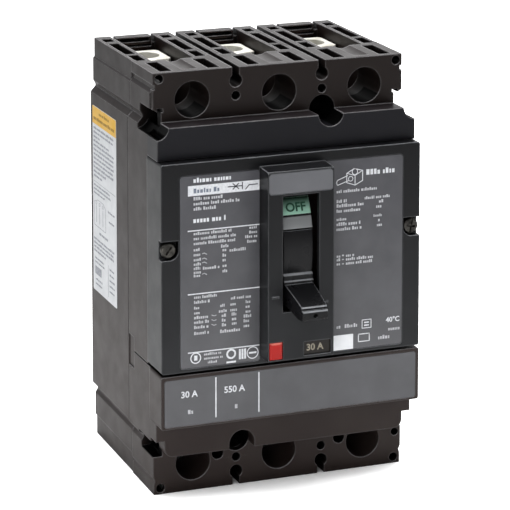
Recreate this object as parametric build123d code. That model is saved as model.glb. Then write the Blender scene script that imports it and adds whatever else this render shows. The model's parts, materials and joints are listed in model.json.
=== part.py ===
from build123d import *
from math import atan2, cos, degrees, hypot, radians, sin, sqrt
import os

# Moulded three-pole circuit breaker. Millimetres. The origin is the centre of the mounting
# pattern on the flat back: +X to the right seen from the front, -Y towards the front, +Z up
# towards the line terminals.

# Overall housing
POLE_PITCH = 35.0
POLES = (-POLE_PITCH, 0.0, POLE_PITCH)
WALLS = (-POLE_PITCH / 2, POLE_PITCH / 2)
END_Z = 81.0             # half height of the housing
MID_HALF = 52.0          # half width of the middle of the housing
BLOCK_HALF = 50.9        # half width of the terminal blocks
SEAM_Y = -45.0           # parting plane between the rear housing and the front mouldings
SEAM_GROOVE = 0.4        # width and depth of the fine groove along the parting line
FACE_Y = -69.0           # terminal faces
SHOULDER_Y = -77.8       # front of the shoulder above the front cover
LEDGE_Y = -75.2          # front of the ledge under the trip unit
TRIP_Y = -82.0           # front of the trip unit
COVER_BACK_Y = -66.8     # back of the front cover
COVER_Y = -82.3          # front of the front cover
ESC_Y = -90.5            # front of the handle surround
COVER_SCREW_X = 49.0     # cover screws, each in a pocket open to the side
COVER_SCREW_Z = 17.0
POCKET_Y = -79.6         # floor of those pockets
POCKET_R = 3.6
BAY_HALF = 15.5          # half width of a pole bay
BAY_Z = 56.0             # half height of a pole bay
FLOOR = 3.0              # rear floor thickness

# Terminal ends
LUG_Z = 70.0             # height of the binding screws
ACCESS_R = 6.9           # screwdriver access holes
WINDOW_HALF = 8.6        # half width of a wire entry
WINDOW_FRONT_Y = -48.0
MOUNT_X = 17.5
MOUNT_Z = 62.5
MOUNT_R = 2.75           # mounting screw holes
MOUNT_BORE_R = 4.9       # their counterbores

# Lugs and binding screws
LUG_HALF = 7.8
LUG_BACK_Y = -9.0
LUG_FRONT_Y = -26.0
WIRE_Y = -17.3
WIRE_R = 5.6
BIND_R = 3.75
RUN = 0.05               # radial running clearance

# Contact system
SHAFT_Y = -24.0
SHAFT_Z = 14.0
SHAFT_R = 9.0
OPEN_DEG = 40.0          # turn of the pole shaft between closed and open

# Handle
PIVOT_Y = -48.0
PIVOT_Z = 13.85
DRUM_R = 40.0
DRUM_HALF = 5.85
HANDLE_HALF = 5.7

# Toggle linkage, in the open position
CRANK = (-11.5, 6.0)     # crank pin from the pole shaft axis
LINK_PIN = (-50.0, 4.0)  # fixed pivot of the upper links
LINK_LENGTH = 15.3
PIN_R = 1.6

# Trip system
BAR_Y = -34.0
BAR_Z = -36.0
BAR_R = 2.2
BUTTON_X = -10.0
BUTTON_Z = -22.8
ARMATURE_Y = -19.75
ARMATURE_Z = -51.0

os.makedirs("parts", exist_ok=True)


def save(name, shape):
    """Write one sub-part, and hand it back."""
    solids = shape.solids() if hasattr(shape, "solids") else [s for item in shape for s in item.solids()]
    export_step(Compound(children=list(solids)) if len(solids) > 1 else solids[0], f"parts/{name}.step")
    return shape


def block(x0, x1, y0, y1, z0, z1):
    """Rectangular block between two opposite corners."""
    size = Box(abs(x1 - x0), abs(y1 - y0), abs(z1 - z0))
    return Pos((x0 + x1) / 2, (y0 + y1) / 2, (z0 + z1) / 2) * size


def rod_x(x0, x1, y, z, r):
    return Pos((x0 + x1) / 2, y, z) * Rot(0, 90, 0) * Cylinder(r, abs(x1 - x0))


def rod_y(y0, y1, x, z, r):
    return Pos(x, (y0 + y1) / 2, z) * Rot(90, 0, 0) * Cylinder(r, abs(y1 - y0))


def rod_z(z0, z1, x, y, r):
    return Pos(x, y, (z0 + z1) / 2) * Cylinder(r, abs(z1 - z0))


def plate_yz(points, x0, x1):
    """Flat piece with a side-view outline of (y, z) points."""
    outline = Plane.YZ.offset(min(x0, x1)) * Polygon(*points, align=None)
    return extrude(outline, amount=abs(x1 - x0), dir=(1, 0, 0))


def plate_xz(points, y_back, y_front):
    """Flat piece with a front-view outline of (x, z) points."""
    outline = Plane.XZ.offset(-y_back) * Polygon(*points, align=None)
    return extrude(outline, amount=y_back - y_front, dir=(0, -1, 0))


def panel(x0, x1, z0, z1, radius, y_back, y_front):
    """Flat piece with rounded corners in front view."""
    outline = Pos((x0 + x1) / 2, (z0 + z1) / 2) * RectangleRounded(x1 - x0, z1 - z0, radius)
    return extrude(Plane.XZ.offset(-y_back) * outline, amount=y_back - y_front)


def turned(shape, y, z, angle):
    """Turn a shape about an axis along X through (y, z)."""
    return Pos(0, y, z) * Rot(angle, 0, 0) * Pos(0, -y, -z) * shape


def ends(shape):
    """The same feature at the line end and, mirrored, at the load end."""
    return [shape, mirror(shape, about=Plane.XY)]


def all_four(points):
    """Mirror a quarter outline of (x, z) points, running up from z = 0, into a full outline."""
    right = points[::-1] + [(x, -z) for x, z in points]
    return right + [(-x, z) for x, z in reversed(right)]


# Housing outlines seen from the front: the middle is wider than the two terminal blocks, with a
# groove between them and a small step near the ends.
REAR_OUTLINE = all_four([
    (MID_HALF, 59.5), (50.0, 61.7), (50.0, 62.5), (BLOCK_HALF, 64.0),
    (BLOCK_HALF, 72.9), (50.3, 73.6), (50.3, END_Z),
])
SEAM_OUTLINE = [(x * (1 - SEAM_GROOVE / MID_HALF), z * (1 - SEAM_GROOVE / END_Z)) for x, z in REAR_OUTLINE]


def terminal_cutters(x):
    """Wire entry, light pockets and ribs at the line end of the pole at x."""
    cuts = [block(x - WINDOW_HALF, x + WINDOW_HALF, -4.6, WINDOW_FRONT_Y, 58.5, END_Z + 1)]
    for side in (-1, 1):
        notch = x + side * 7.9 - 0.2
        cuts.append(block(notch - 0.7, notch + 0.7, 1, -5, END_Z - 2.6, END_Z + 1))
        near = x + side * 10.0
        far = x + side * 14.1
        cuts.append(block(near, far, -4.6, -10.4, 68.0, END_Z + 1))
        cuts.append(block(near, far, -13.6, -34.3, 66.5, END_Z + 1))
        cuts.append(block(near, far, -36.4, -46.6, 68.0, END_Z + 1))
        cuts.append(block(x + side * 7.1, x + side * 11.9, -50.4, -67.0, 66.5, END_Z + 1))
    # Shallow trough in the front wall, and two slots in the rear wall of the wire entry.
    cuts.append(rod_y(WINDOW_FRONT_Y + 1, -66.2, x, END_Z + 4.6, 5.6))
    cuts.append(block(x - 6.2, x + 6.2, -2.2, -5, 79.0, 80.4))
    cuts.append(block(x - 7.0, x + 7.0, -3.4, -5, 77.0, 77.8))
    cuts.append(rod_y(-28, FACE_Y - 1, x, LUG_Z, ACCESS_R))
    return cuts


def end_cutters():
    """Everything cut into both ends of the housing."""
    cuts = []
    for x in POLES:
        for cut in terminal_cutters(x):
            cuts += ends(cut)
    for x in WALLS:
        cuts += ends(block(x - 1.4, x + 1.4, 1, FACE_Y - 1, 75.0, END_Z + 1))
        cuts += ends(rod_y(-50, FACE_Y - 1, x, 75.8, 2.5))
        cuts += ends(rod_y(-60, FACE_Y - 1, x, 70.1, 1.7))
        cuts += ends(rod_y(-24, -61, x, 70.1, 1.2))
    for x in (-48.1, 48.1):
        cuts += ends(rod_y(-58, FACE_Y - 1, x, 78.6, 1.7))
    for sign in (-1, 1):
        cuts.append(rod_y(-14, SHOULDER_Y - 1, sign * MOUNT_X, sign * MOUNT_Z, MOUNT_BORE_R))
        cuts.append(rod_y(1, -15, sign * MOUNT_X, sign * MOUNT_Z, MOUNT_R))
    return cuts


END_CUTS = end_cutters()
SIDE_TABS = [block(s * 50.55, s * 51.6, SEAM_Y, -50.6, -37.2, -25.4) for s in (-1, 1)]
TAB_POCKETS = [block(s * 50.5, s * 53.5, SEAM_Y + 1, -50.75, -37.4, -25.2) for s in (-1, 1)]


def rear_housing():
    """Rear moulding: three open pole bays and the back halves of both terminal ends."""
    body = plate_xz(REAR_OUTLINE, 0, SEAM_Y + SEAM_GROOVE) + plate_xz(SEAM_OUTLINE, SEAM_Y + SEAM_GROOVE, SEAM_Y)
    cuts = []
    for x in POLES:
        # Shallow sinks in the back face keep its walls even.
        cuts += ends(block(x - 12, x + 12, 1, -0.8, 6, 50))
        cuts.append(block(x - BAY_HALF, x + BAY_HALF, -FLOOR, SEAM_Y - 1, -BAY_Z, BAY_Z))
        for cut in ends(block(x - 6.05, x + 6.05, -6.45, -9.05, 55, 60)):
            cuts.append(cut)
    cuts.append(rod_x(-46.3, 46.3, SHAFT_Y, SHAFT_Z, SHAFT_R + RUN))
    for x in WALLS:
        cuts.append(block(x - 2.5, x + 2.5, SHAFT_Y, SEAM_Y - 1, SHAFT_Z - SHAFT_R - RUN, SHAFT_Z + SHAFT_R + RUN))
        cuts.append(rod_x(x - 2.5, x + 2.5, BAR_Y, BAR_Z, BAR_R + RUN))
    return body + SIDE_TABS - cuts - END_CUTS


MAIN_OUTLINE = [
    (MID_HALF, -30.3), (MID_HALF, 59.5), (50.0, 61.7), (50.0, 62.5), (51.0, 64.2), (51.0, 73.2), (49.8, 74.7),
    (49.8, 76.4), (50.6, 76.6), (50.6, END_Z), (-50.6, END_Z), (-50.6, 76.6), (-49.8, 76.4), (-49.8, 74.7),
    (-51.0, 73.2), (-51.0, 64.2), (-50.0, 62.5), (-50.0, 61.7), (-MID_HALF, 59.5), (-MID_HALF, -30.3),
]


def main_cover():
    """Front moulding above the trip unit: line terminal faces, shoulder and the deck under the cover."""
    body = plate_xz(MAIN_OUTLINE, SEAM_Y, COVER_BACK_Y)
    body += block(-50.6, 50.6, COVER_BACK_Y, FACE_Y, 62, END_Z)
    body += block(-MID_HALF, MID_HALF, COVER_BACK_Y, SHOULDER_Y, 49.7, 62.0)
    cuts = [block(s * 49.8, s * 52, COVER_BACK_Y + 1, FACE_Y - 1, 74.7, 76.5) for s in (-1, 1)]
    for x in POLES:
        cuts.append(block(x - BAY_HALF, x + BAY_HALF, SEAM_Y + 1, -63.8, -28.4, BAY_Z))
        cuts.append(block(x - 13.0, x + 13.0, -71, -75.3, 52.2, 56.6))
    # Quarter-round corners at the shoulder, running back as a deep, undercut side recess.
    for s in (-1, 1):
        cuts.append(rod_y(-56, SHOULDER_Y - 1, s * 52.4, 62.5, 5.0))
        cuts.append(block(s * 47.3, s * 54, -56, FACE_Y - 0.01, 60.5, 66.2))
        cuts.append(block(s * 46.6, s * 48.9, -62, FACE_Y - 1, 66.0, 67.4))
        cuts.append(block(s * 42.9, s * 47.4, -56, -65.0, 58.0, 65.4))
        cuts.append(block(s * 48.6, s * 51.1, -65.2, SHOULDER_Y + 1.0, 52.5, 62.1))
        cuts.append(rod_y(-63, COVER_BACK_Y - 1, s * COVER_SCREW_X, COVER_SCREW_Z, 1.6))
    cuts.append(rod_y(-66, SHOULDER_Y - 1, MOUNT_X, MOUNT_Z, 5.1))
    # Opening for the handle drum, the button stem and its guide.
    cuts.append(block(-8.2, 8.2, -60, -69.2, -25.5, 51.8))
    cuts.append(rod_y(-60, -68, BUTTON_X, BUTTON_Z, 1.5 + RUN))
    return body - cuts - TAB_POCKETS - END_CUTS


TRIP_OUTLINE = [
    (MID_HALF, -30.9), (MID_HALF, -60.3), (50.0, -61.7), (50.0, -62.5), (51.0, -64.2), (51.0, -74.1), (50.3, -75.6),
    (50.7, -77.0), (50.7, -END_Z), (-50.7, -END_Z), (-50.7, -77.0), (-50.3, -75.6), (-51.0, -74.1),
    (-51.0, -64.2), (-50.0, -62.5), (-50.0, -61.7), (-MID_HALF, -60.3), (-MID_HALF, -30.9),
]


def trip_unit_cover():
    """Front moulding of the trip unit, with its ledge and the load terminal faces."""
    body = plate_xz(TRIP_OUTLINE, SEAM_Y, FACE_Y)
    body += block(-MID_HALF, MID_HALF, FACE_Y, LEDGE_Y, -58.1, -51.2)
    body += panel(-52.35, 52.35, -51.2, -30.9, 0.8, FACE_Y, TRIP_Y)
    cuts = [panel(-51.05, 51.05, -50.3, -32.4, 0.9, TRIP_Y + 0.6, TRIP_Y - 1)]
    for x in POLES:
        cuts.append(block(x - BAY_HALF, x + BAY_HALF, SEAM_Y + 1, -66.0, -BAY_Z, -33.4))
        cuts.append(block(x - 14.0, x + 14.0, -66.0, -79.0, -49.0, -33.4))
    for s in (-1, 1):
        cuts.append(block(s * 47.3, s * 54, -56, FACE_Y - 0.01, -59.5, -66.2))
        cuts.append(block(s * 42.9, s * 47.4, -56, -65.0, -58.0, -65.4))
        cuts.append(rod_y(-64, FACE_Y - 1, s * 25.0, -67.8, 2.3))
    cuts.append(rod_y(-56, FACE_Y - 1, 48.6, -68.4, 1.5))
    body = body - cuts - TAB_POCKETS - END_CUTS
    # The lower ledge hangs in front of the terminal faces; one mounting screw passes through it.
    ledge = panel(-48.6, 48.6, -64.5, -54.0, 3.4, FACE_Y, LEDGE_Y)
    passage = rod_y(-66, LEDGE_Y - 1, -MOUNT_X, -MOUNT_Z, 5.1)
    relief = block(-MOUNT_X - 5.1, -MOUNT_X + 5.1, FACE_Y + 0.01, LEDGE_Y - 1, -70.0, -MOUNT_Z)
    return body + ledge - [passage, relief]


def accessory_cover():
    """Front cover with the raised handle surround."""
    body = panel(-52.2, 52.2, -29.8, 49.5, 0.8, COVER_BACK_Y, COVER_Y)
    body -= block(-50.2, 50.2, COVER_BACK_Y + 1, -79.8, -27.8, 47.5)
    surround = plate_yz([(-79.8, -26.9), (-90.1, -26.9), (ESC_Y, -26.5), (ESC_Y, 44.9), (-90.1, 45.3),
                         (-79.8, 45.8)], -13.2, 13.2)
    body += surround
    # Two small raised marks beside the foot of the slot.
    body += block(-11.6, -8.8, ESC_Y, ESC_Y - 0.3, -2.6, -1.9)
    body += block(9.7, 10.9, ESC_Y, ESC_Y - 0.3, -6.2, -5.5)
    for s in (-1, 1):
        body += block(s * 44.5, s * 50.3, COVER_BACK_Y, -80.5, COVER_SCREW_Z - 4.5, COVER_SCREW_Z + 4.5)
    cuts = [
        panel(-44.9, -13.25, -28.4, 44.6, 1.2, COVER_Y + 0.7, COVER_Y - 0.05),
        panel(13.25, 45.1, -28.4, 45.4, 1.2, COVER_Y + 0.7, COVER_Y - 0.05),
        block(-11.0, 11.0, -79, -88.4, -16.5, 40.5),
        block(-7.3, 7.3, -86, ESC_Y - 1, -8.3, 36.0),
        panel(-12.8, 12.8, 36.9, 44.7, 1.3, ESC_Y + 0.5, ESC_Y - 1),
        panel(1.2, 12.1, -25.6, -20.4, 0.3, ESC_Y + 1.4, ESC_Y - 1),
        block(-12.75, -7.25, -79, ESC_Y - 1, -26.2, -19.4),
        block(-7.3, 7.3, COVER_BACK_Y + 1, -71.6, 46.5, 50.5),
    ]
    for s in (-1, 1):
        # Screw pocket: square above, round below, open to the side.
        top = COVER_SCREW_Z + POCKET_R
        bottom = COVER_SCREW_Z - POCKET_R
        cuts.append(block(s * (COVER_SCREW_X - POCKET_R), s * 53, POCKET_Y, COVER_Y - 1, COVER_SCREW_Z, top))
        cuts.append(block(s * COVER_SCREW_X, s * 53, POCKET_Y, COVER_Y - 1, bottom, COVER_SCREW_Z))
        cuts.append(rod_y(POCKET_Y, COVER_Y - 1, s * COVER_SCREW_X, COVER_SCREW_Z, POCKET_R))
        cuts.append(rod_y(-60, COVER_Y, s * COVER_SCREW_X, COVER_SCREW_Z, 1.7))
    return body - cuts


save("rear_housing", rear_housing())
save("main_cover", main_cover())
save("trip_unit_cover", trip_unit_cover())
save("accessory_cover", accessory_cover())


def rating_plates():
    """The grey plates, the blank nameplate, labels and the rating window."""
    left = panel(-44.8, -13.3, -28.3, 44.5, 1.1, COVER_Y + 0.7, COVER_Y - 0.05)
    right = panel(13.35, 45.0, -28.3, 45.3, 1.1, COVER_Y + 0.7, COVER_Y - 0.05)
    save("left_plate", left)
    save("right_plate", right)
    save("trip_plate", panel(-51.0, 51.0, -50.25, -32.45, 0.85, TRIP_Y + 0.6, TRIP_Y - 0.05))
    save("nameplate", panel(-12.75, 12.75, 36.95, 44.65, 1.25, ESC_Y + 0.5, ESC_Y - 0.1))
    save("rating_window", panel(1.25, 12.05, -25.55, -20.45, 0.28, ESC_Y + 1.4, ESC_Y + 0.7))
    save("blank_sticker", panel(16.1, 24.8, -28.2, -22.4, 0.2, COVER_Y - 0.05, COVER_Y - 0.2))
    label = Plane.YZ.offset(-MID_HALF) * Pos(-17.0, 17.35) * RectangleRounded(28.6, 74.7, 0.8)
    save("side_label", extrude(label, amount=-0.15))


rating_plates()


def combo_screw(x, z, head_y, tip_y, head_r, shank_r, head_h, turn=0.0):
    """Screw along Y with a rounded head and a slotted cross recess, its slot turned by an angle."""
    head = rod_y(head_y, head_y + head_h, x, z, head_r)
    head = fillet(head.edges().group_by(Axis.Y)[0], head_h * 0.35)
    shank = rod_y(head_y + head_h, tip_y, x, z, shank_r)
    slot = block(-head_r, head_r, head_y - 0.1, head_y + 0.7, -0.35, 0.35)
    cross = block(-0.45, 0.45, head_y - 0.1, head_y + 1.0, -head_r * 0.6, head_r * 0.6)
    place = Pos(x, 0, z) * Rot(0, turn, 0)
    return head + shank - [place * slot, place * cross]


save("cover_screws", [
    combo_screw(side * COVER_SCREW_X, COVER_SCREW_Z, POCKET_Y - 2.0, -64.2, 2.95, 1.58, 1.95, turn)
    for side, turn in ((-1, 38), (1, -78))
])
save("case_screws", [
    combo_screw(x, z, -62.5, -25, 1.65, 1.18, 1.5) for x in WALLS for z in (-70.1, 70.1)
])


def lug(x, sign):
    """Aluminium mechanical lug: vertical wire bore, threaded boss for the binding screw."""
    body = block(x - LUG_HALF, x + LUG_HALF, LUG_BACK_Y, LUG_FRONT_Y, 63.2, 76.2)
    body = chamfer(body.edges().filter_by(Axis.Z), 1.2)
    body += rod_y(LUG_FRONT_Y, -31, x, LUG_Z, 6.2)
    body -= rod_z(60, 80, x, WIRE_Y, WIRE_R)
    body -= rod_y(WIRE_Y, -32, x, LUG_Z, BIND_R + RUN)
    return body if sign > 0 else mirror(body, about=Plane.XY)


def binding_screw(x, sign):
    """Hex-socket set screw that clamps the wire, shown backed out of the bore."""
    z = sign * LUG_Z
    body = rod_y(-23.2, -36.0, x, z, BIND_R)
    body = chamfer(body.edges().group_by(Axis.Y)[-1], 0.8)
    socket = Plane.XZ.offset(36.0) * Pos(x, z) * RegularPolygon(2.5, 6)
    return body - extrude(socket, amount=-4.0)


def line_strap(x):
    """Copper bar from the line lug down to the fixed contact."""
    return block(x - 6, x + 6, -6.5, LUG_BACK_Y, 24.5, 74.6)


def load_strap(x):
    """Copper bar from the front fixed contact, back under the shaft, then down to the load lug."""
    points = [(-39, 3), (-41.5, 3), (-41.5, -28), (-9, -28), (-9, -74.6), (-6.5, -74.6), (-6.5, -25.5), (-39, -25.5)]
    return plate_yz(points, x - 6, x + 6)


for label_text, pole_x in zip("abc", POLES):
    save(f"line_lug_{label_text}", lug(pole_x, 1))
    save(f"load_lug_{label_text}", lug(pole_x, -1))
    save(f"line_screw_{label_text}", binding_screw(pole_x, 1))
    save(f"load_screw_{label_text}", binding_screw(pole_x, -1))
    save(f"line_strap_{label_text}", line_strap(pole_x))
    save(f"load_strap_{label_text}", load_strap(pole_x))

# Silver pads on the straps: line side facing front, load side facing back.
save("fixed_contacts", [block(x - 3.5, x + 3.5, -9.0, -10.4, 25.5, 33.5) for x in POLES]
     + [block(x - 3.5, x + 3.5, -37.6, -39.0, -5.5, 2.5) for x in POLES])


def opened(shape):
    """Turn a shape drawn with the contacts closed into the open position."""
    return turned(shape, SHAFT_Y, SHAFT_Z, OPEN_DEG)


def contact_arm(x):
    """Double-ended copper contact arm, drawn closed and then opened."""
    points = [(-12.2, -18.6), (-9.4, -18.6), (2.6, -4), (12.2, 12.4), (12.2, 18.6), (9.4, 18.6), (-2.6, 4),
              (-12.2, -12.4)]
    return opened(plate_yz([(SHAFT_Y + y, SHAFT_Z + z) for y, z in points], x - 3, x + 3))


def moving_pads(x):
    """Silver pads at the two ends of an arm."""
    line = block(x - 2.8, x + 2.8, SHAFT_Y + 12.2, SHAFT_Y + 13.4, SHAFT_Z + 12.6, SHAFT_Z + 18.4)
    load = block(x - 2.8, x + 2.8, SHAFT_Y - 12.2, SHAFT_Y - 13.4, SHAFT_Z - 12.6, SHAFT_Z - 18.4)
    return [opened(line), opened(load)]


arms = [contact_arm(x) for x in POLES]
for label_text, arm in zip("abc", arms):
    save(f"contact_arm_{label_text}", arm)
save("moving_contacts", [pad for x in POLES for pad in moving_pads(x)])


def pole_shaft():
    """Moulded cross bar that carries the three arms, with the crank of the linkage."""
    body = rod_x(-46, 46, SHAFT_Y, SHAFT_Z, SHAFT_R)
    crank_y = SHAFT_Y + CRANK[0]
    crank_z = SHAFT_Z + CRANK[1]
    across = (-CRANK[1] / hypot(*CRANK) * 3, CRANK[0] / hypot(*CRANK) * 3)
    ear = [(SHAFT_Y + across[0], SHAFT_Z + across[1]), (crank_y + across[0], crank_z + across[1]),
           (crank_y - across[0], crank_z - across[1]), (SHAFT_Y - across[0], SHAFT_Z - across[1])]
    body += plate_yz(ear, -2.6, 2.6)
    body += rod_x(-2.6, 2.6, crank_y, crank_z, 3.0)
    body += rod_x(-4.3, 4.3, crank_y, crank_z, PIN_R)
    return body - arms


save("pole_shaft", pole_shaft())


def arc_chute(x):
    """Two stacks of steel splitter plates, each between two fibre cheeks."""
    pieces = []
    for z_near, z_far in ((37.5, 54.5), (-10.5, -24.0)):
        for s in (-1, 1):
            pieces.append(block(x + s * 12.5, x + s * 13.7, -12.5, -35.5, z_near, z_far))
        for i in range(6):
            y = -14.5 - 3.6 * i
            plate = block(x - 12.5, x + 12.5, y, y - 1.2, z_near + (0.8 if z_far > 0 else -0.8), z_far)
            mouth = [(x - 5, z_near), (x + 5, z_near), (x, (z_near + z_far) / 2)]
            pieces.append(plate - plate_xz(mouth, y + 1, y - 2))
    return pieces


for label_text, pole_x in zip("abc", POLES):
    save(f"arc_chute_{label_text}", arc_chute(pole_x))


def handle_outline():
    """Side view of the lever in the off position."""
    return [(-84.2, 2.8), (-86.6, 2.0), (-95.0, -0.4), (-102.3, -2.8), (-102.9, -3.4), (-103.0, -4.2),
            (-103.6, -4.2), (-104.1, -4.9), (-104.0, -7.3), (-103.3, -8.0), (-99.8, -8.1), (-90.5, -6.5),
            (-82.0, -6.0)]


def toggle_handle():
    """Lever on a drum that closes the slot, turning about the handle pivot."""
    ring = rod_x(-DRUM_HALF, DRUM_HALF, PIVOT_Y, PIVOT_Z, DRUM_R)
    ring -= rod_x(-DRUM_HALF - 1, DRUM_HALF + 1, PIVOT_Y, PIVOT_Z, DRUM_R - 2.6)
    low = radians(-78)
    high = radians(37)
    far = 90
    sector = [(PIVOT_Y, PIVOT_Z)]
    for angle in (low, radians(-45), radians(-20), radians(5), high):
        sector.append((PIVOT_Y - far * cos(angle), PIVOT_Z + far * sin(angle)))
    drum = ring & plate_yz(sector, -DRUM_HALF, DRUM_HALF)
    lever = plate_yz(handle_outline(), -HANDLE_HALF, HANDLE_HALF)
    taper = [(-DRUM_HALF, -80.0), (-5.75, -86.5), (-4.95, -105), (4.95, -105), (5.75, -86.5), (DRUM_HALF, -80.0)]
    lever &= Pos(0, 0, -20) * extrude(Polygon(*taper, align=None), amount=40, dir=(0, 0, 1))
    # A stepped bar across the drum just above the lever, the seats of the two flags with a groove
    # below them, and a dimple in the middle of the lever's tip.
    bar = [(-84.0, 5.6), (-86.8, 5.6), (-88.0, 4.6), (-88.0, 2.9), (-88.5, 2.4), (-88.5, 0.5), (-84.0, 0.5)]
    drum += plate_yz(bar, -DRUM_HALF, DRUM_HALF)
    drum -= [flag_blank(27.3, 33.4), flag_blank(21.6, 26.6)]
    return drum + lever - rod_y(-102.8, -105, 0, -6.1, 0.9)


def flag_blank(z_low, z_high):
    """Slice of the drum's outer skin between two heights."""
    skin = rod_x(-DRUM_HALF, DRUM_HALF, PIVOT_Y, PIVOT_Z, DRUM_R + 0.3)
    skin -= rod_x(-DRUM_HALF - 1, DRUM_HALF + 1, PIVOT_Y, PIVOT_Z, DRUM_R - 1.0)
    return skin & block(-DRUM_HALF, DRUM_HALF, -76, -92, z_low, z_high)


save("toggle_handle", toggle_handle())
save("off_flag", flag_blank(27.3, 33.4))
save("on_flag", flag_blank(22.2, 26.6))


def handle_yoke():
    """Steel yoke under the drum, on two stub pins in the side plates."""
    lean = radians(-21.5)
    along = (-cos(lean), sin(lean))
    across = (-sin(lean), -cos(lean))

    def at(r, w):
        return (PIVOT_Y + along[0] * r + across[0] * w, PIVOT_Z + along[1] * r + across[1] * w)

    leg = [at(0, 4), at(30, 7), at(35.5, 7), at(35.5, -7), at(30, -7), at(0, -4)]
    body = [plate_yz(leg, s * 6.1, s * 7.5) for s in (-1, 1)]
    bridge = plate_yz([at(34, 7), at(35.5, 7), at(35.5, -7), at(34, -7)], -7.5, 7.5)
    foot = plate_yz([at(35.4, 3), at(37.5, 3), at(37.5, -3), at(35.4, -3)], -5, 5)
    foot &= rod_x(-6, 6, PIVOT_Y, PIVOT_Z, DRUM_R - 2.6)
    yoke = body[0] + body[1] + bridge + foot
    for s in (-1, 1):
        yoke += rod_x(s * 6.1, s * 7.5, PIVOT_Y, PIVOT_Z, 4)
        yoke += rod_x(s * 7.4, s * 9.8, PIVOT_Y, PIVOT_Z, 2.0)
    return yoke


save("handle_yoke", handle_yoke())

# Toggle linkage in the open position.
crank_at = (SHAFT_Y + CRANK[0], SHAFT_Z + CRANK[1])
gap = hypot(crank_at[0] - LINK_PIN[0], crank_at[1] - LINK_PIN[1])
rise = sqrt(LINK_LENGTH ** 2 - (gap / 2) ** 2)
unit = ((crank_at[0] - LINK_PIN[0]) / gap, (crank_at[1] - LINK_PIN[1]) / gap)
knee = ((LINK_PIN[0] + crank_at[0]) / 2 - unit[1] * rise, (LINK_PIN[1] + crank_at[1]) / 2 + unit[0] * rise)


def link_plate(a, b, x0, x1, width, bore_a, slot_b):
    """Flat link from point a to point b, with a bore at a and a slot along the link at b."""
    length = hypot(b[0] - a[0], b[1] - a[1])
    angle = degrees(atan2(b[1] - a[1], b[0] - a[0]))
    flat = block(x0, x1, 0, length, -width, width)
    flat += rod_x(x0, x1, 0, 0, width) + rod_x(x0, x1, length, 0, width)
    cuts = [rod_x(x0 - 1, x1 + 1, 0, 0, bore_a)]
    short, wide = slot_b
    cuts.append(rod_x(x0 - 1, x1 + 1, length, 0, wide))
    if short:
        cuts.append(rod_x(x0 - 1, x1 + 1, length - short, 0, wide))
        cuts.append(block(x0 - 1, x1 + 1, length - short, length, -wide, wide))
    return Pos(0, a[0], a[1]) * Rot(angle, 0, 0) * (flat - cuts)


save("upper_links", [link_plate(LINK_PIN, knee, x, x + 1.2, 2.9, PIN_R + RUN, (0, PIN_R)) for x in (-5.7, 4.5)])
save("toggle_pin", rod_x(-5.9, 5.9, knee[0], knee[1], PIN_R))
save("lower_links", [
    link_plate(crank_at, knee, x, x + 1.2, 3.2, PIN_R + RUN, (2.0, PIN_R + 0.35)) for x in (-4.1, 2.9)
])


def coil(a, b, coil_r, wire_r, turns):
    """Helical spring from a to b, both (x, y, z)."""
    start = Vector(*a)
    run = Vector(*b) - start
    path = Helix(pitch=run.length / turns, height=run.length, radius=coil_r)
    wire = sweep(Plane(path @ 0, z_dir=path % 0) * Circle(wire_r), path=path)
    return Plane(origin=start, z_dir=run.normalized()).location * wire


lean_y = PIVOT_Y - 33.4 * cos(radians(-21.5))
lean_z = PIVOT_Z + 33.4 * sin(radians(-21.5))
pull = (lean_y - knee[0], lean_z - knee[1])
reach = hypot(*pull)
save("main_spring", coil(
    (0, knee[0] + pull[0] * 2.2 / reach, knee[1] + pull[1] * 2.2 / reach), (0, lean_y, lean_z), 2.0, 0.4, 12))


def mechanism_frame():
    """Two side plates with the handle bearings, the fixed link pin and two spacers to the bay walls."""
    outline = [(-36, -6), (-58, -6), (-62, 0), (-62, 24), (-56, 32), (-40, 32), (-36, 26)]
    frame = []
    for s in (-1, 1):
        plate = plate_yz(outline, s * 8.2, s * 9.6)
        plate -= rod_x(s * 7, s * 11, PIVOT_Y, PIVOT_Z, 2.0 + RUN)
        frame.append(plate)
    body = frame[0] + frame[1]
    body += rod_x(-9.6, 9.6, LINK_PIN[0], LINK_PIN[1], PIN_R)
    body += rod_x(-15.5, 15.5, -40.0, 28.5, 1.8) + rod_x(-15.5, 15.5, -46.0, -3.5, 1.8)
    latch_pin = rod_x(-9.6, 9.6, -55.0, -2.6, 1.3)
    return body + latch_pin


save("mechanism_frame", mechanism_frame())


def latch_lever():
    """Latch on its own pin at the foot of the side plates."""
    body = plate_yz([(-52.6, -0.4), (-57.4, -0.4), (-57.4, -5), (-56, -15), (-53.4, -15), (-52.6, -5)], -3, 3)
    return body - rod_x(-4, 4, -55.0, -2.6, 1.3 + RUN)


save("latch_lever", latch_lever())


def trip_bar():
    """Cross bar of the trip unit, a finger at each pole and the arm the button pushes."""
    body = rod_x(-46.5, 46.5, BAR_Y, BAR_Z, BAR_R)
    for x in POLES:
        body += block(x - 3, x + 3, BAR_Y, -23.4, -38.2, -32.6)
    arm = [(-32.2, -36), (-35.8, -36), (-41.6, -26.4), (-42.6, -23.6), (-42.6, -21.0), (-40.2, -21.0), (-40.2, -25.0)]
    return body + plate_yz(arm, BUTTON_X - 1.6, BUTTON_X + 1.6)


save("trip_bar", trip_bar())


def trip_button():
    """Red push-to-trip button on a round stem."""
    head = block(-12.68, -7.32, -81.0, -91.1, -26.13, -19.47)
    head = chamfer(head.edges().group_by(Axis.Y)[0], 0.8)
    return head + rod_y(-81.0, -42.9, BUTTON_X, BUTTON_Z, 1.5)


save("trip_button", trip_button())
save("trip_button_spring", coil((BUTTON_X, -80.6, BUTTON_Z), (BUTTON_X, -67.2, BUTTON_Z), 2.3, 0.35, 7))


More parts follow.
